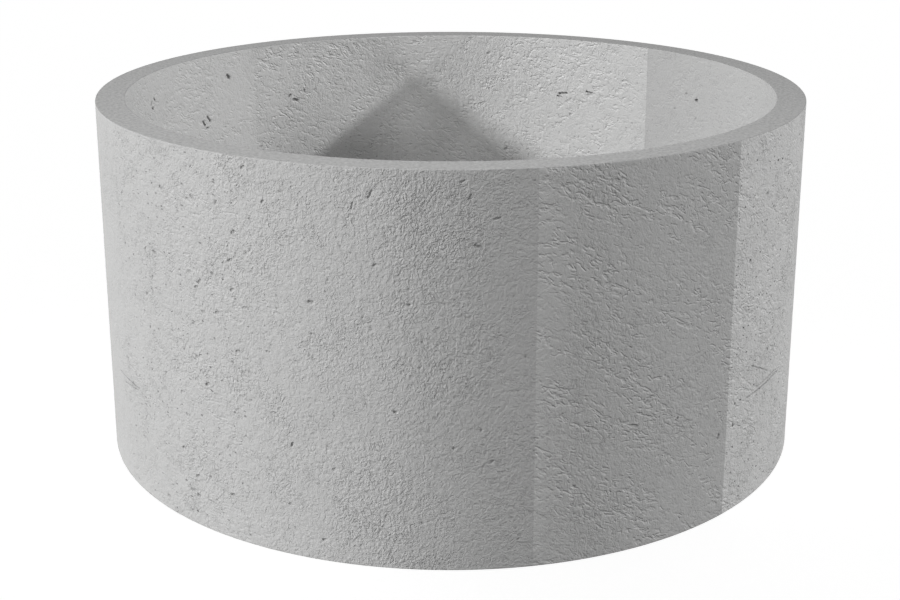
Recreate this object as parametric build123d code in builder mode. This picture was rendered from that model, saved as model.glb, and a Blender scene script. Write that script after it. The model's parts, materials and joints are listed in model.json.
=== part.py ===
"""A precast concrete culvert ring: one plain round wall, open at both ends.

The ring stands on its end with its axis along Z and its origin at the centre of
the base. Sizes are in millimetres.
"""

import os

from build123d import *

# Driving dimensions
outer_diameter = 1000.0
wall_thickness = 40.0
ring_height = 500.0
# The form leaves each edge of the wall slightly rounded
arris_radius = 1.0

# Sizes that follow from them
outer_radius = outer_diameter / 2
wall_middle_radius = outer_radius - wall_thickness / 2

# The wall's upright section, turned once round the axis
with BuildPart() as culvert_ring:
    with BuildSketch(Plane.XZ) as wall_section:
        with Locations((wall_middle_radius, ring_height / 2)):
            Rectangle(wall_thickness, ring_height)
        fillet(wall_section.vertices(), radius=arris_radius)
    revolve(axis=Axis.Z)

culvert_ring.part.label = "culvert_ring"

os.makedirs("parts", exist_ok=True)
export_step(culvert_ring.part, "parts/culvert_ring.step")
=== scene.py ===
"""The concrete skin of a culvert ring, and the pale studio it stands in.

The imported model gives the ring's diameter, height and bore. The ring is cast again
here as one mesh with its air holes, drags and slow undulation, and gets a procedural
concrete finish.
"""

import json
import math
import random
from collections import Counter
from typing import NamedTuple

import bmesh
import bpy
from bpy.props import (
    FloatProperty,
    FloatVectorProperty,
    IntProperty,
    PointerProperty,
)
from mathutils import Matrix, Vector, kdtree, noise


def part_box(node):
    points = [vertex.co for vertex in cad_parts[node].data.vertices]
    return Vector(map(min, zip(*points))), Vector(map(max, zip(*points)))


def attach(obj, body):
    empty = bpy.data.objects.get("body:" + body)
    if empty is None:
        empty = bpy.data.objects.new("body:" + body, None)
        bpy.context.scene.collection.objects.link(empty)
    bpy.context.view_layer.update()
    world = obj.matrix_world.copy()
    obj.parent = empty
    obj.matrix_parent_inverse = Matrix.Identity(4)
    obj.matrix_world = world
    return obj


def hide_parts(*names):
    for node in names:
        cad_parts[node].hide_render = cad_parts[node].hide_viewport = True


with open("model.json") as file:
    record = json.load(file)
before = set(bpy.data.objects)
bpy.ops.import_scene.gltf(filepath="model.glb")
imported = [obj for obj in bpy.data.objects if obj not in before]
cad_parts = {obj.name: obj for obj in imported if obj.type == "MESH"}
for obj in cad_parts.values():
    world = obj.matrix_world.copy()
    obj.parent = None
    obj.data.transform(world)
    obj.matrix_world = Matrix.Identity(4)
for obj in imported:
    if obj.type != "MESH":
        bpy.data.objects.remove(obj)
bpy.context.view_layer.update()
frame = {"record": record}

bl_info = {
    "name": "Concrete culvert ring",
    "version": (1, 0, 0),
    "blender": (4, 5, 0),
    "location": "3D View > Sidebar > Culvert",
    "description": "Casts the concrete skin of a culvert ring and sets it in a pale studio",
    "category": "Object",
}

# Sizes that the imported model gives, in metres
RING_NODE = "culvert_ring"
MILLIMETRE = 0.001
node_low, node_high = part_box(RING_NODE)
OUTER_RADIUS = (node_high.x - node_low.x) / 2
RING_HEIGHT = node_high.z - node_low.z
BORE = next(mount for mount in frame["record"]["mounts"] if mount["name"] == "bore")
INNER_RADIUS = BORE["dims"]["r_mm"] * MILLIMETRE

# The photograph's frame and the point where the camera's axis meets it, in its pixels
PHOTO_WIDTH = 900
PHOTO_HEIGHT = 600
AXIS_PIXEL_X = 450.7
AXIS_PIXEL_Y = 212.0

# How the mesh is divided: faces round the marks are halved once for each margin, in mesh steps
ARRIS_SEGMENTS = 3
EIGHTHS = 8
MERGE_DISTANCE = 1e-6
MARK_MARGINS = (0.7, 0.3, 0.12)
PLACED_MARK_MARGIN = 0.1

# Values of noise at which each form of the relief starts and is full; the valleys' lie below
# the middle and count from there
NOISE_MIDDLE = 0.5
PATCH_EDGE = (0.40, 0.62)
BAND_EDGE = (0.42, 0.58)
FOLD_EDGE = (0.37, 0.63)
GROOVE_BREAK_EDGE = (0.45, 0.55)
CRACK_BREAK_EDGE = (0.45, 0.60)
VALLEY_EDGE = (-0.1, -0.25)

# How far from the noise's middle a groove or a crack ends, and how long its breaks are, in metres
GROOVE_REACH = 0.09
GROOVE_BREAK = 0.013
CRACK_REACH = 0.07
CRACK_BREAK = 0.016

# The level line that the grooves are turned about to fall, from the axis to the right front
GROOVE_AXIS = (0.47, -0.88, 0.0)

# Dust and painted shade in the cracks, as a share of that in the wrinkles' valleys
CRACK_DUST_AND_SHADE = 0.55

# The sensor's width in millimetres, the lamps' distance in metres and the floor's sides
SENSOR_WIDTH = 36.0
LAMP_DISTANCE = 4.0
FLOOR_SEGMENTS = 96

OUTSIDE = "outside"
INSIDE = "inside"


class Mark(NamedTuple):
    """A hollow in the wall: a slot with round ends, or a round hole where run is 0."""

    side: str
    angle: float  # round the ring from the front, to the right, in radians
    height: float
    run: float  # half the length of its straight part
    half_width: float
    tilt: float
    depth: float


class FormPanel(NamedTuple):
    """A strip of wall that came out of the form alike, from its start to the next one's. Its tones
    are partly the panel's own tone and partly painted shade and painted light.
    """

    start: float  # degrees from the front, to the right
    tones: tuple  # at its start and at its end
    wrinkles: float  # how strong they are, as for the grooves and the pits
    grooves: float
    pitting: float


# The panels' tones are partly the form's own tone and partly painted shade and painted light that
# grade the walls round the ring.
OUTSIDE_PANELS = (
    FormPanel(-45, tones=(0.97, 1.0), wrinkles=1.1, grooves=0.6, pitting=0.9),
    FormPanel(-30, tones=(1.0, 1.03), wrinkles=0.9, grooves=0.4, pitting=0.5),
    FormPanel(-9, tones=(1.03, 0.87), wrinkles=1.0, grooves=0.4, pitting=0.4),
    FormPanel(4.5, tones=(0.87, 0.88), wrinkles=0.9, grooves=0.4, pitting=0.4),
    FormPanel(11.5, tones=(1.0, 0.83), wrinkles=0.7, grooves=1.4, pitting=0.3),
    FormPanel(45, tones=(1.16, 1.19), wrinkles=1.4, grooves=1.2, pitting=1.5),
    FormPanel(135, tones=(1.1, 1.1), wrinkles=1.0, grooves=0.8, pitting=0.8),
    FormPanel(225, tones=(0.92, 0.945), wrinkles=0.7, grooves=0.3, pitting=0.1),
    FormPanel(300, tones=(0.945, 0.955), wrinkles=1.0, grooves=0.4, pitting=0.9),
)
INSIDE_PANELS = (
    FormPanel(-45, tones=(0.9, 0.9), wrinkles=0.8, grooves=0.6, pitting=0.4),
    FormPanel(45, tones=(0.9, 0.77), wrinkles=0.5, grooves=0.5, pitting=0.3),
    FormPanel(135, tones=(0.93, 1.46), wrinkles=0.7, grooves=1.3, pitting=0.5),
    FormPanel(200, tones=(1.46, 1.2), wrinkles=0.8, grooves=1.9, pitting=0.5),
    FormPanel(225, tones=(1.25, 0.9), wrinkles=0.6, grooves=1.0, pitting=0.4),
)

# Rough parts of the outer wall: degrees from the front, height, reach (mm), added wrinkles
ROUGH_SPOTS = (
    (-4, 440, 140, 0.6),
    (-8, 70, 120, 0.15),
    (-38, 300, 150, 0.2),
)

# Painted shade and painted light in the bore, darker and paler spots that grade its shadow: degrees
# from the front, height, reach (mm), added tone
PAINTED_SHADE_AND_LIGHT = (
    (212, 290, 160, -0.24),
    (199, 280, 95, -0.24),
    (188, 372, 95, 0.28),
    (175, 298, 95, 0.26),
)

# Depth of the hollows that catch the eye on each wall, in halves of their width
NOTED_DEPTH = {OUTSIDE: 0.65, INSIDE: 1.3}

# Those hollows: side, degrees from the front, height, length, width (mm), tilt in degrees
NOTED_HOLES = (
    (OUTSIDE, -43, 100, 9, 5.5, 20),
    (OUTSIDE, -40, 42, 8, 5, -10),
    (OUTSIDE, -33, 60, 8, 5, 10),
    (OUTSIDE, -40, 69, 9, 5, 25),
    (OUTSIDE, -22.5, 148, 7, 4.5, 70),
    (OUTSIDE, -23, 68, 7, 4.5, -20),
    (OUTSIDE, -7.5, 205, 7, 5, 10),
    (OUTSIDE, -18, 28, 7, 5, 0),
    (OUTSIDE, -37, 201, 9, 4.5, 15),
    (OUTSIDE, -42.5, 178, 9, 3.5, 10),
    (OUTSIDE, -41.6, 149, 9, 3.5, -5),
    (OUTSIDE, -39, 233, 7, 4, -30),
    (OUTSIDE, -31, 255, 8, 4, 10),
    (OUTSIDE, -25.9, 263, 7, 4, 0),
    (OUTSIDE, -37.3, 295, 9, 4, -5),
    (OUTSIDE, -34.5, 299, 8, 4.5, 10),
    (OUTSIDE, -29.6, 313, 7, 3.5, 15),
    (OUTSIDE, -31.6, 333, 8, 4, 30),
    (OUTSIDE, -31.7, 370, 8, 4, 25),
    (OUTSIDE, -38.5, 325, 8, 4, 20),
    (OUTSIDE, -37.8, 333, 9, 4, 45),
    (OUTSIDE, -48, 352, 10, 5, -10),
    (OUTSIDE, -31, 406, 9, 4, 30),
    (OUTSIDE, -45.5, 440, 8, 5, -30),
    (OUTSIDE, -38.5, 439, 9, 5, -25),
    (OUTSIDE, -29, 487, 8, 4.5, 35),
    (OUTSIDE, -26, 449, 7, 4, 45),
    (OUTSIDE, -10.5, 469, 12, 3.2, 65),
    (OUTSIDE, -13, 454, 10, 3.2, 75),
    (OUTSIDE, 1.5, 486, 8, 3.2, 20),
    (OUTSIDE, 2.5, 468, 9, 3, 60),
    (OUTSIDE, 6, 442, 12, 3.2, 15),
    (OUTSIDE, 3.5, 410, 9, 3.2, -20),
    (OUTSIDE, -10, 385, 6, 3.8, 10),
    (OUTSIDE, 34, 161, 7, 4.5, 30),
    (OUTSIDE, 43, 115, 9, 5, 70),
    (OUTSIDE, 26.5, 166, 12, 4, -15),
    (OUTSIDE, 57, 272, 7, 4.5, 80),
    (OUTSIDE, 49, 338, 7, 4.5, 30),
    (INSIDE, -102.8, 459, 10, 4, 60),
    (INSIDE, -101.4, 455, 10, 4, -50),
    (INSIDE, -101.9, 446, 9, 4, 15),
    (INSIDE, -128, 460, 11, 6, 60),
    (INSIDE, -121.9, 398, 14, 4.5, 55),
    (INSIDE, -120.4, 393, 14, 4.5, 60),
    (INSIDE, -121.2, 384, 8, 4, 0),
    (INSIDE, -145, 403, 13, 5, 10),
    (INSIDE, -143.6, 411, 9, 4, -35),
    (INSIDE, 155, 406, 17, 4.5, -8),
    (INSIDE, 155.9, 400, 10, 3.5, 10),
    (INSIDE, 149, 412, 14, 4.5, 8),
    (INSIDE, 121, 430, 9, 6, 0),
)

# Drags left by the form: degrees from the front, height, length, width (mm), tilt in degrees, and
# depth in halves of the width
DRAG_MARKS = (
    (-59.7, 147, 78, 2.8, 0, 1.8),
    (-58.6, 141, 52, 2.4, 6, 1.8),
    (56.2, 151, 106, 3.2, 2, 1.8),
    (56.8, 157, 64, 2.6, 3, 1.8),
    (54.3, 179, 58, 2.2, -24, 1.2),
    (36.5, 238, 28, 3.0, 17, 0.4),
    (37.6, 232, 32, 3.0, 24, 0.4),
    (29.1, 200, 24, 3.4, 35, 0.4),
    (21.8, 156, 22, 3.0, 34, 0.4),
)


# Settings that can be changed in the sidebar

class RingSizes(bpy.types.PropertyGroup):
    """The ring's own sizes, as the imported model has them, and the mesh's step."""

    outer_radius: FloatProperty(
        name="Outer radius", description="From the axis to the outer wall",
        default=OUTER_RADIUS, unit="LENGTH", subtype="DISTANCE",
    )
    inner_radius: FloatProperty(
        name="Inner radius", description="From the axis to the inner wall",
        default=INNER_RADIUS, unit="LENGTH", subtype="DISTANCE",
    )
    height: FloatProperty(
        name="Height", description="From the base to the top face",
        default=RING_HEIGHT, unit="LENGTH", subtype="DISTANCE",
    )
    arris_radius: FloatProperty(
        name="Edge rounding", description="Radius that the form leaves on each edge",
        default=0.001, unit="LENGTH", subtype="DISTANCE",
    )
    arris_margin: FloatProperty(
        name="Edge margin", description="Narrow band that keeps the faces flat up to the edge",
        default=0.001, unit="LENGTH", subtype="DISTANCE",
    )
    step: FloatProperty(
        name="Mesh step", description="Side of one face of the plain wall",
        default=0.01, unit="LENGTH", subtype="DISTANCE",
    )


class CastMarks(bpy.types.PropertyGroup):
    """The hollows and the undulation that casting leaves in the walls."""

    seed: IntProperty(
        name="Seed", description="Starts the scatter of air holes", default=11,
    )
    outside_holes: IntProperty(
        name="Holes outside", description="Air holes scattered over the outer wall",
        default=260, min=0,
    )
    inside_holes: IntProperty(
        name="Holes inside", description="Air holes scattered over the inner wall",
        default=90, min=0,
    )
    hole_width: FloatVectorProperty(
        name="Hole width", description="Narrowest and widest air hole",
        default=(0.0028, 0.0052), size=2, unit="LENGTH",
    )
    wave_height: FloatProperty(
        name="Undulation", description="Height of the walls' slow undulation",
        default=0.00012, unit="LENGTH", subtype="DISTANCE",
    )
    wave_length: FloatProperty(
        name="Undulation length", description="Length of the walls' slow undulation",
        default=0.07, unit="LENGTH", subtype="DISTANCE",
    )


class SkinRelief(bpy.types.PropertyGroup):
    """The fine relief of the cast skin: how wide its forms are and how high."""

    patch_width: FloatProperty(
        name="Patches", description="Width of the patches where the wrinkles are strong",
        default=0.09, unit="LENGTH", subtype="DISTANCE",
    )
    patch_low: FloatProperty(
        name="Calm patches", description="Share of the wrinkles that is left between the patches",
        default=0.6, min=0.0, max=1.0,
    )
    band_lean: FloatProperty(
        name="Lean", description="Turn of the grooves' bands round the ring for each metre of height",
        default=2.0,
    )
    band_stretch: FloatProperty(
        name="Stretch", description="How much longer the grooves' bands are along their lean",
        default=2.0, min=0.1,
    )
    band_width: FloatProperty(
        name="Bands", description="Width of the bands where the grooves are strong",
        default=0.05, unit="LENGTH", subtype="DISTANCE",
    )
    band_low: FloatProperty(
        name="Calm bands", description="Share of the grooves that is left between the bands",
        default=0.3, min=0.0, max=1.0,
    )
    groove_width: FloatProperty(
        name="Grooves", description="Width of the forms that the grooves run round",
        default=0.018, unit="LENGTH", subtype="DISTANCE",
    )
    groove_flatness: FloatProperty(
        name="Groove flatness", description="How much wider than high those forms are",
        default=2.1, min=0.1,
    )
    groove_fall: FloatProperty(
        name="Groove fall", description="How far the grooves fall from the level, to the right",
        default=math.radians(24), subtype="ANGLE",
    )
    groove_depth: FloatProperty(
        name="Groove depth", description="Depth of the grooves",
        default=0.0005, unit="LENGTH", subtype="DISTANCE",
    )
    # The lips below the grooves carry a painted highlight
    lip_highlight_gap: FloatProperty(
        name="Groove lips", description="How far below its groove the painted lip highlight lies",
        default=0.0013, unit="LENGTH", subtype="DISTANCE",
    )
    fold_width: FloatProperty(
        name="Folds", description="Width of the short curved folds",
        default=0.0067, unit="LENGTH", subtype="DISTANCE",
    )
    fold_height: FloatProperty(
        name="Fold height", description="Height of one fold",
        default=0.0005, unit="LENGTH", subtype="DISTANCE",
    )
    wrinkle_width: FloatProperty(
        name="Wrinkles", description="Width of the finest wrinkles",
        default=0.0033, unit="LENGTH", subtype="DISTANCE",
    )
    wrinkle_height: FloatProperty(
        name="Wrinkle height", description="Height of the finest wrinkles",
        default=0.0011, unit="LENGTH", subtype="DISTANCE",
    )
    crack_width: FloatProperty(
        name="Cracks", description="Distance between the fine open cracks",
        default=0.0105, unit="LENGTH", subtype="DISTANCE",
    )
    crack_depth: FloatProperty(
        name="Crack depth", description="Depth of the fine open cracks",
        default=0.0004, unit="LENGTH", subtype="DISTANCE",
    )
    pinhole_spacing: FloatProperty(
        name="Pinholes", description="Distance between the places where a pinhole may lie",
        default=0.0075, unit="LENGTH", subtype="DISTANCE",
    )
    pinhole_flatness: FloatProperty(
        name="Pinhole flatness", description="How much wider than high the pinholes are",
        default=1.8, min=0.1,
    )
    pinhole_depth: FloatProperty(
        name="Pinhole depth", description="Depth of the pinholes",
        default=0.0006, unit="LENGTH", subtype="DISTANCE",
    )
    end_share: FloatProperty(
        name="Relief of the ends", description="Share of the relief on the trowelled ends",
        default=0.1, min=0.0, max=1.0,
    )


class ConcreteLooks(bpy.types.PropertyGroup):
    """The concrete's colour, and the tones that vary it, painted shade and painted light among them.
    """

    paste_colour: FloatVectorProperty(
        name="Cement paste", description="Dry cast concrete",
        default=(0.40, 0.40, 0.398), size=3, min=0.0, max=1.0, subtype="COLOR",
    )
    end_tone: FloatProperty(
        name="End faces", description="Tone of the smooth top and base", default=0.68, min=0.0,
    )
    # Painted light: the ends are paler towards the front left
    end_painted_light: FloatProperty(
        name="Painted end light", description="How much paler the ends are at the front left",
        default=0.17,
    )
    grain: FloatProperty(
        name="Grain", description="Spread of the fine grain's tone", default=0.05, min=0.0,
    )
    end_grain: FloatProperty(
        name="End grain", description="Spread of the speckle's tone on the ends",
        default=0.24, min=0.0,
    )
    # Dust and painted shade in the recesses: the air holes, drags and pinholes are darkened
    hollow_shade: FloatProperty(
        name="Dust and shade in holes", description="How much darker the deepest air holes are",
        default=0.3, min=0.0, max=1.0,
    )
    pinhole_shade: FloatProperty(
        name="Dust and shade in pinholes", description="How much darker the pinholes are",
        default=0.5, min=0.0, max=1.0,
    )
    # Painted shade and painted highlight: dark grooves with pale lips just below them, as if lit from
    # above
    groove_shade: FloatProperty(
        name="Painted shade in grooves", description="How much darker the grooves are",
        default=0.17, min=0.0, max=1.0,
    )
    lip_painted_highlight: FloatProperty(
        name="Painted lip highlights", description="How much paler the lips below the grooves are",
        default=0.24, min=0.0,
    )
    # Dust and painted shade in the wrinkles' valleys and cracks
    valley_shade: FloatProperty(
        name="Dust and shade in wrinkles", description="How much darker the wrinkles' valleys are",
        default=0.3, min=0.0, max=1.0,
    )
    roughness: FloatProperty(
        name="Roughness", description="How dull the dry concrete is",
        default=0.88, min=0.0, max=1.0, subtype="FACTOR",
    )
    sheen: FloatProperty(
        name="Sheen", description="How strongly the dry concrete mirrors",
        default=0.25, min=0.0, max=1.0, subtype="FACTOR",
    )


class StudioLight(bpy.types.PropertyGroup):
    """The camera, the three lamps, the open light and the floor."""

    camera_distance: FloatProperty(
        name="Camera distance", description="From the ring's axis, on the level",
        default=2.134, unit="LENGTH", subtype="DISTANCE",
    )
    camera_height: FloatProperty(
        name="Camera height", description="Above the floor",
        default=0.909, unit="LENGTH", subtype="DISTANCE",
    )
    camera_pitch: FloatProperty(
        name="Camera pitch", description="How far the camera looks down",
        default=math.radians(15.67), subtype="ANGLE",
    )
    camera_lens: FloatProperty(
        name="Lens", description="Focal length on a 36 mm sensor", default=60.1,
        subtype="DISTANCE_CAMERA",
    )
    key_strength: FloatProperty(
        name="Left lamp", description="Light on a face turned to the lamp at the left",
        default=4.0, min=0.0,
    )
    key_azimuth: FloatProperty(
        name="Left lamp's side", description="From the camera's side, to the right",
        default=math.radians(-73), subtype="ANGLE",
    )
    key_elevation: FloatProperty(
        name="Left lamp's height", description="How high the lamp stands above the level",
        default=math.radians(22.5), subtype="ANGLE",
    )
    key_softness: FloatProperty(
        name="Left lamp's softness", description="How wide the lamp looks from the ring",
        default=math.radians(7), subtype="ANGLE",
    )
    fill_strength: FloatProperty(
        name="Right lamp", description="Light on a face turned to the lamp at the right",
        default=2.15, min=0.0,
    )
    fill_azimuth: FloatProperty(
        name="Right lamp's side", description="From the camera's side, to the right",
        default=math.radians(86.5), subtype="ANGLE",
    )
    fill_elevation: FloatProperty(
        name="Right lamp's height", description="How high the lamp stands above the level",
        default=math.radians(21.2), subtype="ANGLE",
    )
    fill_softness: FloatProperty(
        name="Right lamp's softness", description="How wide the lamp looks from the ring",
        default=math.radians(3), subtype="ANGLE",
    )
    front_strength: FloatProperty(
        name="Front lamp", description="Light on a face turned to the wide lamp at the front",
        default=0.38, min=0.0,
    )
    front_azimuth: FloatProperty(
        name="Front lamp's side", description="From the camera's side, to the right",
        default=0.0, subtype="ANGLE",
    )
    front_elevation: FloatProperty(
        name="Front lamp's height", description="How high the lamp stands above the level",
        default=math.radians(40), subtype="ANGLE",
    )
    front_softness: FloatProperty(
        name="Front lamp's softness", description="How wide the lamp looks from the ring",
        default=math.radians(60), subtype="ANGLE",
    )
    open_strength: FloatProperty(
        name="Open light", description="Even white light from all round", default=0.37, min=0.0,
    )
    floor_radius: FloatProperty(
        name="Floor radius", description="From the ring's axis to the floor's edge",
        default=30.0, unit="LENGTH", subtype="DISTANCE",
    )
    floor_colour: FloatVectorProperty(
        name="Floor", description="Pale studio floor",
        default=(0.8, 0.8, 0.8), size=3, min=0.0, max=1.0, subtype="COLOR",
    )
    floor_glow: FloatProperty(
        name="Floor glow", description="White that the camera sees on the floor without light",
        default=0.84, min=0.0,
    )
    floor_shade: FloatProperty(
        name="Floor shade", description="How strongly the ring's shadow shows on the floor",
        default=0.43, min=0.0, max=1.0,
    )


# Places on the wall and the hollows in it

def angle_of(point):
    """How far round the ring a point lies from the front, to the right."""
    return math.atan2(point.x, -point.y)


def side_of(point, sizes):
    """Whether a point belongs to the outer half of the wall or to the inner one."""
    middle_radius = (sizes.outer_radius + sizes.inner_radius) / 2
    return OUTSIDE if math.hypot(point.x, point.y) > middle_radius else INSIDE


def panel_at(point, sizes):
    """The form panel that cast this part of the wall, and how far along it the point lies."""
    panels = OUTSIDE_PANELS if side_of(point, sizes) == OUTSIDE else INSIDE_PANELS
    first = panels[0].start
    degrees = (math.degrees(angle_of(point)) - first) % 360 + first
    ends = [panel.start for panel in panels[1:]] + [first + 360]
    panel, end = next(pair for pair in zip(panels, ends) if degrees < pair[1])
    return panel, (degrees - panel.start) / (end - panel.start)


def wall_radius(mark, sizes):
    """The radius of the plain wall that a mark lies in."""
    return sizes.outer_radius if mark.side == OUTSIDE else sizes.inner_radius


def place_on_wall(mark, sizes):
    """The point of the plain wall at a mark's middle."""
    radius = wall_radius(mark, sizes)
    return Vector((radius * math.sin(mark.angle), -radius * math.cos(mark.angle), mark.height))


def distance_to(mark, point, sizes):
    """How far a point of the wall lies from a mark's middle line."""
    turn = angle_of(point) - mark.angle
    turn = (turn + math.pi) % math.tau - math.pi
    across = turn * wall_radius(mark, sizes)
    up = point.z - mark.height
    along = across * math.cos(mark.tilt) + up * math.sin(mark.tilt)
    off = up * math.cos(mark.tilt) - across * math.sin(mark.tilt)
    return math.hypot(max(0.0, abs(along) - mark.run), off)


def smooth_fall(value, full, none):
    """1 up to full, 0 from none on, and a smooth fall between them."""
    share = min(1.0, max(0.0, (none - value) / (none - full)))
    return share * share * (3 - 2 * share)


def slot_mark(side, degrees, height, length, width, tilt, depth_share):
    """A mark from its sizes in millimetres and its angles in degrees."""
    half_width = width / 2 * MILLIMETRE
    return Mark(
        side=side, angle=math.radians(degrees), height=height * MILLIMETRE,
        run=length / 2 * MILLIMETRE - half_width, half_width=half_width,
        tilt=math.radians(tilt), depth=half_width * depth_share,
    )


def scattered_holes(rng, side, count, casting, sizes):
    """Air holes in loose clusters over one wall, most of them small."""
    narrowest, widest = casting.hole_width
    edge_gap = 0.012
    clusters_per_metre = 6.0
    smallness = 2.5  # the higher, the fewer wide holes
    longest_run, shallowest, deepest = 0.9, 0.5, 0.9  # shares of half the width
    tilt_spread = 0.5
    chance, chance_swing = 0.45, 0.9
    holes = []
    while len(holes) < count:
        half_width = (narrowest + (widest - narrowest) * rng.random() ** smallness) / 2
        hole = Mark(
            side=side, angle=rng.uniform(-math.pi, math.pi),
            height=rng.uniform(edge_gap, sizes.height - edge_gap),
            run=half_width * rng.uniform(0.0, longest_run), half_width=half_width,
            tilt=rng.gauss(0.0, tilt_spread),
            depth=half_width * rng.uniform(shallowest, deepest),
        )
        middle = place_on_wall(hole, sizes)
        crowding = noise.noise(middle * clusters_per_metre)
        panel, _ = panel_at(middle, sizes)
        if rng.random() < (chance + chance_swing * crowding) * panel.pitting:
            holes.append(hole)
    return holes


def placed_marks():
    """The holes and drags that are listed one by one."""
    holes = [slot_mark(side, *row, NOTED_DEPTH[side]) for side, *row in NOTED_HOLES]
    return holes + [slot_mark(OUTSIDE, *row) for row in DRAG_MARKS]


def chance_marks(casting, sizes):
    """The scattered holes of both walls."""
    rng = random.Random(casting.seed)
    outside = scattered_holes(rng, OUTSIDE, casting.outside_holes, casting, sizes)
    return outside + scattered_holes(rng, INSIDE, casting.inside_holes, casting, sizes)


# The ring's mesh

def draw_section(ring, sizes):
    """The wall's upright section: a rounded rectangle of edges, split into even steps."""
    corners = (
        (sizes.inner_radius, 0.0), (sizes.outer_radius, 0.0),
        (sizes.outer_radius, sizes.height), (sizes.inner_radius, sizes.height),
    )
    ring.faces.new([ring.verts.new((0.0, -radius, z)) for radius, z in corners])
    bmesh.ops.bevel(
        ring, geom=ring.verts[:], offset=sizes.arris_radius, affect="VERTICES",
        segments=ARRIS_SEGMENTS, profile=0.5, material=-1,
    )
    bmesh.ops.delete(ring, geom=ring.faces[:], context="FACES_ONLY")
    for edge in [edge for edge in ring.edges if edge.calc_length() > sizes.step]:
        near, far = edge.verts
        _, band = bmesh.utils.edge_split(edge, near, sizes.arris_margin / edge.calc_length())
        rest = next(edge for edge in band.link_edges if far in edge.verts)
        bmesh.utils.edge_split(rest, far, sizes.arris_margin / rest.calc_length())
    for edge in [edge for edge in ring.edges if edge.calc_length() > sizes.step]:
        cuts = round(edge.calc_length() / sizes.step) - 1
        bmesh.ops.subdivide_edges(ring, edges=[edge], cuts=cuts)


def turn_section(ring, sizes):
    """Turns the section once round the axis, with the seams at the eighths between its columns."""
    eighth_steps = round(math.tau / EIGHTHS * sizes.outer_radius / sizes.step)
    bmesh.ops.spin(
        ring, geom=ring.verts[:] + ring.edges[:], axis=(0, 0, 1), cent=(0, 0, 0),
        angle=math.tau, steps=EIGHTHS * eighth_steps, use_merge=True,
    )
    bmesh.ops.remove_doubles(ring, verts=ring.verts[:], dist=MERGE_DISTANCE)
    bmesh.ops.recalc_face_normals(ring, faces=ring.faces[:])


def points_tree(points):
    """A tree that finds points near a place by their index."""
    tree = kdtree.KDTree(len(points))
    for index, point in enumerate(points):
        tree.insert(point, index)
    tree.balance()
    return tree


def split_faces_near(ring, marks, margin, sizes):
    """Halves the faces that lie within a margin of any mark."""
    ring.faces.ensure_lookup_table()
    ring.edges.index_update()
    tree = points_tree([face.calc_center_median() for face in ring.faces])
    edges = set()
    for mark in marks:
        reach = mark.run + mark.half_width + margin
        for centre, index, _ in tree.find_range(place_on_wall(mark, sizes), reach):
            if distance_to(mark, centre, sizes) < mark.half_width + margin:
                edges.update(ring.faces[index].edges)
    bmesh.ops.subdivide_edges(
        ring, edges=sorted(edges, key=lambda edge: edge.index), cuts=1,
        use_grid_fill=True, use_single_edge=True,
    )


def press_marks(ring, marks, sizes):
    """How deep the marks lie below the plain wall, by the index of each vertex."""
    ring.verts.index_update()
    tree = points_tree([vert.co for vert in ring.verts])
    depths = {}
    nicks_per_metre, finer, finer_share = 260.0, 2.3, 0.8
    hole_swing, drag_swing, drag_slimness = 0.5, 0.3, 4
    widest, flat_share = 1.6, 0.5
    for mark in marks:
        reach = mark.run + widest * mark.half_width
        swing = hole_swing if mark.run < drag_slimness * mark.half_width else drag_swing
        for point, index, _ in tree.find_range(place_on_wall(mark, sizes), reach):
            if side_of(point, sizes) != mark.side:
                continue
            raggedness = 1 + swing * noise.noise(point * nicks_per_metre)
            raggedness += finer_share * swing * noise.noise(point * nicks_per_metre * finer)
            share = distance_to(mark, point, sizes) / (mark.half_width * raggedness)
            depth = mark.depth * smooth_fall(share, flat_share, 1.0)
            depths[index] = max(depth, depths.get(index, 0.0))
    return depths


def shape_walls(ring, depths, casting, sizes):
    """Moves the walls' vertices in by the marks' depths and over the slow undulation."""
    finer, finer_share = 2.7, 0.5
    for vert in ring.verts:
        edge_gap = min(vert.co.z, sizes.height - vert.co.z)
        if edge_gap <= sizes.arris_radius:
            continue
        outward = Vector((vert.co.x, vert.co.y, 0.0)).normalized()
        if side_of(vert.co, sizes) == INSIDE:
            outward.negate()
        fade = 1 - smooth_fall(edge_gap, sizes.arris_radius, casting.wave_length / 2)
        wave = noise.noise(vert.co / casting.wave_length)
        wave += finer_share * noise.noise(vert.co * finer / casting.wave_length)
        vert.co += outward * (casting.wave_height * wave * fade - depths.get(vert.index, 0.0))


def added_by(spots, side, point, sizes):
    """What the round spots of one wall add at a point, each of them most in its middle."""
    total = 0.0
    if side_of(point, sizes) == side:
        for degrees, height, reach, gain in spots:
            spot = slot_mark(side, degrees, height, length=0, width=0, tilt=0, depth_share=0)
            total += gain * smooth_fall(distance_to(spot, point, sizes), 0.0, reach * MILLIMETRE)
    return total


def end_tone(point, looks):
    """The tone of the trowelled ends, with painted light making them palest at the front left."""
    palest_angle = math.radians(-20)
    return looks.end_tone * (1 + looks.end_painted_light * math.cos(angle_of(point) - palest_angle))


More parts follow.
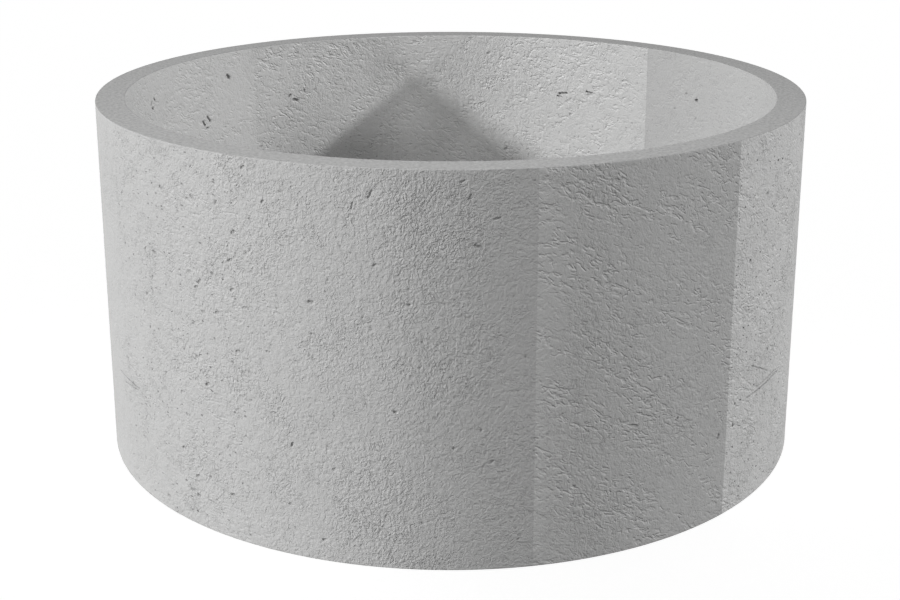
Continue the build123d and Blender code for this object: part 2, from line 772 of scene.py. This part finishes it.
def store_attributes(mesh, depths, looks, relief, sizes):
    """Writes the hollows, the smooth ends and the panels where the material reads them."""
    # The deeper a hollow, the darker the material paints it, for dust and painted shade
    full_depth, darkest = 0.0022, 1.5
    hollow = mesh.attributes.new("hollow", "FLOAT", "POINT")
    for index, depth in depths.items():
        hollow.data[index].value = min(darkest, depth / full_depth)
    names = ("tone", "wrinkles", "grooves", "pitting", "end_face")
    layers = [mesh.attributes.new(name, "FLOAT", "FACE") for name in names]
    for polygon in mesh.polygons:
        centre = polygon.center
        if min(centre.z, sizes.height - centre.z) < sizes.arris_radius / 2:
            values = (end_tone(centre, looks), relief.end_share, 0.0, 0.0, 1.0)
        else:
            panel, share = panel_at(centre, sizes)
            tone = panel.tones[0] + (panel.tones[1] - panel.tones[0]) * share
            # Painted shade and painted light in the bore
            tone *= 1 + added_by(PAINTED_SHADE_AND_LIGHT, INSIDE, centre, sizes)
            wrinkles = panel.wrinkles * (1 + added_by(ROUGH_SPOTS, OUTSIDE, centre, sizes))
            values = (tone, wrinkles, panel.grooves, panel.pitting, 0.0)
        for layer, value in zip(layers, values):
            layer.data[polygon.index].value = value


def section_run(point, centre, sizes):
    """How far along the section a corner of a face lies: up the bore, over, down and under."""
    thickness = sizes.outer_radius - sizes.inner_radius
    across = math.hypot(point.x, point.y) - sizes.inner_radius
    climb = 1 if side_of(point, sizes) == INSIDE else -1
    if centre.z > sizes.height - sizes.arris_radius:
        return sizes.height + across + climb * (point.z - sizes.height)
    if centre.z < sizes.arris_radius:
        return 2 * (sizes.height + thickness) - across + climb * point.z
    return point.z if climb > 0 else 2 * sizes.height + thickness - point.z


def unroll(mesh, sizes):
    """A map for baking: the front half of the ring unrolled below the back half."""
    margin, half = 0.004, 0.5
    thickness = sizes.outer_radius - sizes.inner_radius
    full_run = 2 * (sizes.height + thickness) + sizes.arris_radius
    layer = mesh.uv_layers.new(name="OFBake")
    for polygon in mesh.polygons:
        centre = polygon.center
        is_back = centre.y > 0
        for corner in polygon.loop_indices:
            point = mesh.vertices[mesh.loops[corner].vertex_index].co
            angle = math.atan2(-point.x, point.y) if is_back else angle_of(point)
            across = angle / math.pi + half
            along = section_run(point, centre, sizes) / full_run
            layer.data[corner].uv = (
                margin + across * (1 - 2 * margin),
                margin + along * (half - 2 * margin) + half * is_back,
            )


# Shader nodes and their groups

def add_node(tree, kind, inputs=None, **settings):
    """A shader node with its settings; an input is a value, or a socket to link from."""
    node = tree.nodes.new(kind)
    for name, value in settings.items():
        setattr(node, name, value)
    for name, value in (inputs or {}).items():
        if isinstance(value, bpy.types.NodeSocket):
            tree.links.new(value, node.inputs[name])
        else:
            node.inputs[name].default_value = value
    return node


def calc(tree, operation, *values):
    """A number worked out from other numbers."""
    node = add_node(tree, "ShaderNodeMath", dict(enumerate(values)), operation=operation)
    return node.outputs["Value"]


def remap(tree, value, start, end, low, high, shape="SMOOTHSTEP"):
    """A value moved from the range between start and end to the one between low and high."""
    ranges = {"From Min": start, "From Max": end, "To Min": low, "To Max": high}
    node = add_node(
        tree, "ShaderNodeMapRange", {"Value": value, **ranges}, interpolation_type=shape,
    )
    return node.outputs["Result"]


def cloud(tree, place, width, detail, roughness=0.5, distortion=0.0):
    """Noise between 0 and 1 whose forms are about as wide as given."""
    node = add_node(tree, "ShaderNodeTexNoise", {
        "Vector": place, "Scale": 1 / width, "Detail": detail,
        "Roughness": roughness, "Distortion": distortion,
    })
    return node.outputs["Fac"]


def middle_lines(tree, value, reach):
    """1 along the lines where noise has its middle value, and 0 past a reach from it."""
    off = calc(tree, "ABSOLUTE", calc(tree, "SUBTRACT", value, NOISE_MIDDLE))
    return remap(tree, off, 0.0, reach, 1.0, 0.0)


def scaled(tree, place, upright):
    """A place whose height above the floor is scaled."""
    return add_node(tree, "ShaderNodeVectorMath", {
        0: place, 1: (1.0, 1.0, upright),
    }, operation="MULTIPLY").outputs["Vector"]


def lay_out(tree):
    """Sets the nodes out in columns, from the last one on the right back to the left."""
    column_width, row_height = 240, 280
    columns = {}

    def set_column(node, column):
        if columns.get(node.name, -1) >= column:
            return
        columns[node.name] = column
        for socket in node.inputs:
            for link in socket.links:
                set_column(link.from_node, column + 1)

    for node in tree.nodes:
        if not any(socket.is_linked for socket in node.outputs):
            set_column(node, 0)
    rows = Counter()
    for name, column in columns.items():
        tree.nodes[name].location = (-column_width * column, -row_height * rows[column])
        rows[column] += 1


def new_group(name, outputs):
    """An empty shader node group for an effect, and the socket that gives the place."""
    group = bpy.data.node_groups.new(name, "ShaderNodeTree")
    group.interface.new_socket("Vector", in_out="INPUT", socket_type="NodeSocketVector")
    for output in outputs:
        group.interface.new_socket(output, in_out="OUTPUT", socket_type="NodeSocketFloat")
    return group, add_node(group, "NodeGroupInput").outputs["Vector"]


def close_group(group, results):
    """Links a group's results to its outputs."""
    add_node(group, "NodeGroupOutput", results)
    lay_out(group)
    return group


def groove_bands(group, place, relief):
    """How strong the grooves are: full in bands that lean round the ring, and weaker between."""
    height = add_node(group, "ShaderNodeSeparateXYZ", {"Vector": place}).outputs["Z"]
    leaning = add_node(group, "ShaderNodeVectorRotate", {
        "Vector": place, "Angle": calc(group, "MULTIPLY", height, relief.band_lean),
    }, rotation_type="Z_AXIS").outputs["Vector"]
    stretched = scaled(group, leaning, 1 / relief.band_stretch)
    banded = cloud(group, stretched, relief.band_width, detail=2.0)
    return remap(group, banded, *BAND_EDGE, relief.band_low, 1.0)


def groove_lines(group, place, gap, relief):
    """Short broken lines that fall to the right, set lower by a gap."""
    above = add_node(group, "ShaderNodeVectorMath", {0: place, 1: (0.0, 0.0, gap)})
    falling = add_node(group, "ShaderNodeVectorRotate", {
        "Vector": above.outputs["Vector"], "Axis": GROOVE_AXIS, "Angle": relief.groove_fall,
    }, rotation_type="AXIS_ANGLE").outputs["Vector"]
    flattened = scaled(group, falling, relief.groove_flatness)
    forms = cloud(
        group, flattened, relief.groove_width, detail=2.5, roughness=0.55, distortion=0.6,
    )
    lines = middle_lines(group, forms, GROOVE_REACH)
    broken = cloud(group, flattened, GROOVE_BREAK, detail=1.0)
    breaks = remap(group, broken, *GROOVE_BREAK_EDGE, 0.0, 1.0)
    return calc(group, "MULTIPLY", lines, breaks)


def crack_lines(group, place, relief):
    """Fine open cracks, broken into short lengths."""
    veined = cloud(group, place, relief.crack_width, detail=1.5, distortion=1.2)
    lines = middle_lines(group, veined, CRACK_REACH)
    broken = cloud(group, place, CRACK_BREAK, detail=1.0)
    breaks = remap(group, broken, *CRACK_BREAK_EDGE, 0.0, 1.0)
    return calc(group, "MULTIPLY", lines, breaks)


def skin_group(relief):
    """The cast skin: its wrinkles' height in millimetres, valleys darkened for dust and painted
    shade, grooves, and the lips below them that get a painted highlight.
    """
    group, place = new_group("Cast skin", ("Wrinkles", "Valleys", "Grooves", "Lips"))
    bands = groove_bands(group, place, relief)
    # The grooves, and the lips a gap below them that get a painted highlight
    grooves, lips = [
        calc(group, "MULTIPLY", groove_lines(group, place, gap, relief), bands)
        for gap in (0.0, relief.lip_highlight_gap)
    ]

    patched = cloud(group, place, relief.patch_width, detail=2.0, roughness=0.6)
    patches = remap(group, patched, *PATCH_EDGE, relief.patch_low, 1.0)
    folded = cloud(group, place, relief.fold_width, detail=1.0, distortion=1.1)
    folds = remap(group, folded, *FOLD_EDGE, 0.0, relief.fold_height / MILLIMETRE)
    wrinkled = cloud(group, place, relief.wrinkle_width, detail=1.5, distortion=0.8)
    wrinkles = calc(group, "SUBTRACT", wrinkled, NOISE_MIDDLE)
    cracks = crack_lines(group, place, relief)
    height = calc(group, "MULTIPLY_ADD", wrinkles, relief.wrinkle_height / MILLIMETRE, folds)
    height = calc(group, "MULTIPLY_ADD", cracks, -relief.crack_depth / MILLIMETRE, height)

    # Valleys and cracks, darkened for dust and painted shade
    low = remap(group, calc(group, "MULTIPLY", wrinkles, patches), *VALLEY_EDGE, 0.0, 1.0)
    dark_cracks = calc(group, "MULTIPLY", calc(group, "MULTIPLY", cracks, patches), CRACK_DUST_AND_SHADE)
    return close_group(group, {
        "Wrinkles": calc(group, "MULTIPLY", height, patches),
        "Valleys": calc(group, "MAXIMUM", low, dark_cracks),
        "Grooves": grooves, "Lips": lips,
    })


def pinhole_group(relief):
    """Ragged pinholes a few millimetres wide, in fewer than half of the cells of a loose grid."""
    group, place = new_group("Pinholes", ("Mask",))
    swing = 0.005
    empty_share = 0.55
    widest, soft_rim = 0.3, 0.06  # shares of a cell
    shift = add_node(group, "ShaderNodeTexNoise", {
        "Vector": place, "Scale": 1 / swing, "Detail": 1.0,
    }).outputs["Color"]
    ragged = add_node(group, "ShaderNodeVectorMath", {
        0: shift, 1: (swing, swing, swing), 2: place,
    }, operation="MULTIPLY_ADD").outputs["Vector"]
    cells = add_node(group, "ShaderNodeTexVoronoi", {
        "Vector": scaled(group, ragged, relief.pinhole_flatness),
        "Scale": 1 / relief.pinhole_spacing,
    }, feature="F1")
    chance = add_node(group, "ShaderNodeSeparateColor", {"Color": cells.outputs["Color"]})
    radius = remap(group, chance.outputs["Red"], empty_share, 1.0, 0.0, widest, "LINEAR")
    inside = calc(group, "SUBTRACT", radius, cells.outputs["Distance"])
    return close_group(group, {"Mask": remap(group, inside, 0.0, soft_rim, 0.0, 1.0)})


def mottle_group(looks):
    """The concrete's uneven tone round 1: clouds and grain, and a coarser speckle for the ends."""
    group, place = new_group("Concrete mottle", ("Wall", "End"))
    cloud_width, grain_width, speckle_width = 0.15, 0.0014, 0.0045
    cloud_swing = 0.015
    common_values = (0.3, 0.7)

    def tones(value, middle, swing):
        return remap(group, value, *common_values, middle - swing, middle + swing, "LINEAR")

    clouds = cloud(group, place, cloud_width, detail=4.0, roughness=0.6)
    fine = cloud(group, place, grain_width, detail=2.0, roughness=0.6)
    coarse = cloud(group, place, speckle_width, detail=3.0, roughness=0.7)
    broad = tones(clouds, 1.0, cloud_swing)
    return close_group(group, {
        "Wall": calc(group, "ADD", broad, tones(fine, 0.0, looks.grain)),
        "End": calc(group, "ADD", broad, tones(coarse, 0.0, looks.end_grain)),
    })


def concrete_material(looks, relief):
    """Dry cast concrete with its panel tones and their painted shade and light, relief, pinholes,
    dust and painted shade in its hollows, and painted highlights below the grooves.
    """
    material = bpy.data.materials.new("cast_concrete")
    material.use_nodes = True
    tree = material.node_tree
    tree.nodes.clear()
    place = add_node(tree, "ShaderNodeTexCoord").outputs["Object"]

    def effect(group):
        return add_node(tree, "ShaderNodeGroup", {"Vector": place}, node_tree=group).outputs

    def stored(name):
        return add_node(
            tree, "ShaderNodeAttribute", attribute_type="GEOMETRY", attribute_name=name,
        ).outputs["Fac"]

    skin = effect(skin_group(relief))
    mottle = effect(mottle_group(looks))
    wrinkle_share = stored("wrinkles")
    groove_share = stored("grooves")
    grooves = calc(tree, "MULTIPLY", skin["Grooves"], groove_share)
    lips = calc(tree, "MULTIPLY", skin["Lips"], groove_share)
    pinholes = calc(tree, "MULTIPLY", effect(pinhole_group(relief))["Mask"], stored("pitting"))
    valleys = calc(tree, "MULTIPLY", skin["Valleys"], calc(tree, "MINIMUM", wrinkle_share, 1.0))

    grain = add_node(tree, "ShaderNodeMix", {
        "Factor": stored("end_face"), "A": mottle["Wall"], "B": mottle["End"],
    }).outputs["Result"]
    # Darkening for dust and painted shade in hollows, pinholes, valleys and grooves, and a painted
    # highlight on the lips below the grooves
    dust_and_shade = calc(tree, "MULTIPLY", stored("hollow"), looks.hollow_shade)
    dust_and_shade = calc(tree, "MULTIPLY_ADD", pinholes, looks.pinhole_shade, dust_and_shade)
    dust_and_shade = calc(tree, "MULTIPLY_ADD", valleys, looks.valley_shade, dust_and_shade)
    dust_and_shade = calc(tree, "MULTIPLY_ADD", grooves, looks.groove_shade, dust_and_shade)
    dust_shade_and_light = calc(tree, "MULTIPLY_ADD", lips, looks.lip_painted_highlight, calc(tree, "SUBTRACT", 1.0, dust_and_shade))
    tone = calc(tree, "MULTIPLY", calc(tree, "MULTIPLY", grain, stored("tone")), dust_shade_and_light)
    colour = add_node(tree, "ShaderNodeVectorMath", {
        0: looks.paste_colour, "Scale": tone,
    }, operation="SCALE").outputs["Vector"]

    height = calc(tree, "MULTIPLY", skin["Wrinkles"], wrinkle_share)
    height = calc(tree, "MULTIPLY_ADD", grooves, -relief.groove_depth / MILLIMETRE, height)
    height = calc(tree, "MULTIPLY_ADD", pinholes, -relief.pinhole_depth / MILLIMETRE, height)
    bump = add_node(tree, "ShaderNodeBump", {
        "Strength": 1.0, "Distance": MILLIMETRE, "Height": height,
    }).outputs["Normal"]
    shader = add_node(tree, "ShaderNodeBsdfPrincipled", {
        "Base Color": colour, "Roughness": looks.roughness,
        "Specular IOR Level": looks.sheen, "Normal": bump,
    }).outputs["BSDF"]
    add_node(tree, "ShaderNodeOutputMaterial", {"Surface": shader})
    lay_out(tree)
    return material


class CULVERT_OT_cast_ring(bpy.types.Operator):
    """Cast the ring with its air holes, drags and concrete finish"""

    bl_idname = "culvert.cast_ring"
    bl_label = "Cast ring"

    def execute(self, context):
        scene = context.scene
        sizes, casting, looks = scene.ring_sizes, scene.cast_marks, scene.concrete_looks
        placed = placed_marks()
        marks = placed + chance_marks(casting, sizes)

        ring = bmesh.new()
        draw_section(ring, sizes)
        turn_section(ring, sizes)
        for margin in MARK_MARGINS:
            split_faces_near(ring, marks, sizes.step * margin, sizes)
        split_faces_near(ring, placed, sizes.step * PLACED_MARK_MARGIN, sizes)
        depths = press_marks(ring, marks, sizes)
        shape_walls(ring, depths, casting, sizes)
        bmesh.ops.recalc_face_normals(ring, faces=ring.faces[:])
        for face in ring.faces:
            face.smooth = True

        mesh = bpy.data.meshes.new("cast_ring")
        ring.to_mesh(mesh)
        ring.free()
        store_attributes(mesh, depths, looks, scene.skin_relief, sizes)
        unroll(mesh, sizes)
        mesh.materials.append(concrete_material(looks, scene.skin_relief))
        piece = bpy.data.objects.new("cast_ring", mesh)
        scene.collection.objects.link(piece)
        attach(piece, "root")
        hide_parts(RING_NODE)
        return {"FINISHED"}


# The studio

def seen_directly(tree):
    """1 for what the camera sees, straight, mirrored or through something, and else 0."""
    rays = add_node(tree, "ShaderNodeLightPath").outputs
    mirrored = calc(tree, "MAXIMUM", rays["Is Glossy Ray"], rays["Is Transmission Ray"])
    return calc(tree, "MAXIMUM", rays["Is Camera Ray"], mirrored)


def white_world(studio):
    """Even white light, and pure white where the camera looks past the floor."""
    world = bpy.data.worlds.new("studio_white")
    world.use_nodes = True
    tree = world.node_tree
    tree.nodes.clear()
    strength = remap(tree, seen_directly(tree), 0.0, 1.0, studio.open_strength, 1.0, "LINEAR")
    background = add_node(tree, "ShaderNodeBackground", {
        "Color": (1.0, 1.0, 1.0, 1.0), "Strength": strength,
    })
    add_node(tree, "ShaderNodeOutputWorld", {"Surface": background.outputs["Background"]})
    lay_out(tree)
    return world


def floor_material(studio):
    """A pale floor that the camera sees as white, with a faint shadow under the ring."""
    material = bpy.data.materials.new("studio_floor")
    material.use_nodes = True
    tree = material.node_tree
    tree.nodes.clear()
    pale = add_node(tree, "ShaderNodeBsdfDiffuse", {"Color": (*studio.floor_colour, 1.0)})
    shade = studio.floor_shade
    faint = add_node(tree, "ShaderNodeBsdfDiffuse", {"Color": (shade, shade, shade, 1.0)})
    glow = add_node(tree, "ShaderNodeEmission", {"Strength": studio.floor_glow})
    seen = add_node(tree, "ShaderNodeAddShader", {
        0: faint.outputs["BSDF"], 1: glow.outputs["Emission"],
    })
    mixed = add_node(tree, "ShaderNodeMixShader", {
        0: seen_directly(tree), 1: pale.outputs["BSDF"], 2: seen.outputs["Shader"],
    })
    add_node(tree, "ShaderNodeOutputMaterial", {"Surface": mixed.outputs["Shader"]})
    lay_out(tree)
    return material


def add_floor(scene, studio):
    """A wide flat disc under the ring."""
    disc = bmesh.new()
    bmesh.ops.create_circle(
        disc, cap_ends=True, segments=FLOOR_SEGMENTS, radius=studio.floor_radius,
    )
    mesh = bpy.data.meshes.new("floor")
    disc.to_mesh(mesh)
    disc.free()
    mesh.materials.append(floor_material(studio))
    floor = bpy.data.objects.new("floor", mesh)
    scene.collection.objects.link(floor)


def add_lamp(scene, studio, name, lit):
    """A far lamp with the settings of its name, which lights only a collection."""
    lamp = bpy.data.lights.new(name, "SUN")
    lamp.energy = getattr(studio, name + "_strength")
    lamp.angle = getattr(studio, name + "_softness")
    azimuth = getattr(studio, name + "_azimuth")
    elevation = getattr(studio, name + "_elevation")
    level = math.cos(elevation)
    towards = Vector((math.sin(azimuth) * level, -math.cos(azimuth) * level, math.sin(elevation)))
    sun = bpy.data.objects.new(name, lamp)
    sun.location = towards * LAMP_DISTANCE
    sun.rotation_euler = towards.to_track_quat("Z", "Y").to_euler()
    sun.light_linking.receiver_collection = lit
    scene.collection.objects.link(sun)


def add_camera(scene, studio):
    """A camera at the photograph's place, shifted as far as its framing needs."""
    lens = bpy.data.cameras.new("camera")
    lens.lens = studio.camera_lens
    lens.sensor_width = SENSOR_WIDTH
    lens.shift_x = (PHOTO_WIDTH / 2 - AXIS_PIXEL_X) / PHOTO_WIDTH
    lens.shift_y = (AXIS_PIXEL_Y - PHOTO_HEIGHT / 2) / PHOTO_WIDTH
    camera = bpy.data.objects.new("camera", lens)
    camera.location = (0.0, -studio.camera_distance, studio.camera_height)
    camera.rotation_euler = (math.pi / 2 - studio.camera_pitch, 0.0, 0.0)
    scene.collection.objects.link(camera)
    scene.camera = camera


class CULVERT_OT_studio(bpy.types.Operator):
    """Set the floor, the white surround, the lamps and the camera"""

    bl_idname = "culvert.studio"
    bl_label = "Set studio"

    def execute(self, context):
        scene = context.scene
        studio = scene.studio_light
        scene.view_settings.view_transform = "Standard"
        scene.world = white_world(studio)
        add_floor(scene, studio)
        ring_only = bpy.data.collections.new("lit_by_lamps")
        ring_only.objects.link(bpy.data.objects["cast_ring"])
        for name in ("key", "fill", "front"):
            add_lamp(scene, studio, name, ring_only)
        add_camera(scene, studio)
        return {"FINISHED"}


# The add-on

SETTINGS = {
    "ring_sizes": RingSizes,
    "cast_marks": CastMarks,
    "skin_relief": SkinRelief,
    "concrete_looks": ConcreteLooks,
    "studio_light": StudioLight,
}


class CULVERT_PT_sidebar(bpy.types.Panel):
    """Lists the ring's settings and the two steps that make it"""

    bl_idname = "CULVERT_PT_sidebar"
    bl_label = "Culvert ring"
    bl_space_type = "VIEW_3D"
    bl_region_type = "UI"
    bl_category = "Culvert"

    def draw(self, context):
        for name in SETTINGS:
            group = getattr(context.scene, name)
            box = self.layout.box()
            for setting in group.__annotations__:
                box.prop(group, setting)
        self.layout.operator(CULVERT_OT_cast_ring.bl_idname)
        self.layout.operator(CULVERT_OT_studio.bl_idname)


CLASSES = (*SETTINGS.values(), CULVERT_OT_cast_ring, CULVERT_OT_studio, CULVERT_PT_sidebar)


def register():
    """Makes the settings and the steps known to Blender."""
    for cls in CLASSES:
        bpy.utils.register_class(cls)
    for name, cls in SETTINGS.items():
        setattr(bpy.types.Scene, name, PointerProperty(type=cls))


def unregister():
    """Takes the settings and the steps away again."""
    for name in SETTINGS:
        delattr(bpy.types.Scene, name)
    for cls in reversed(CLASSES):
        bpy.utils.unregister_class(cls)


def main():
    """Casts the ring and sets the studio."""
    register()
    bpy.ops.culvert.cast_ring()
    bpy.ops.culvert.studio()


if __name__ == "__main__":
    main()
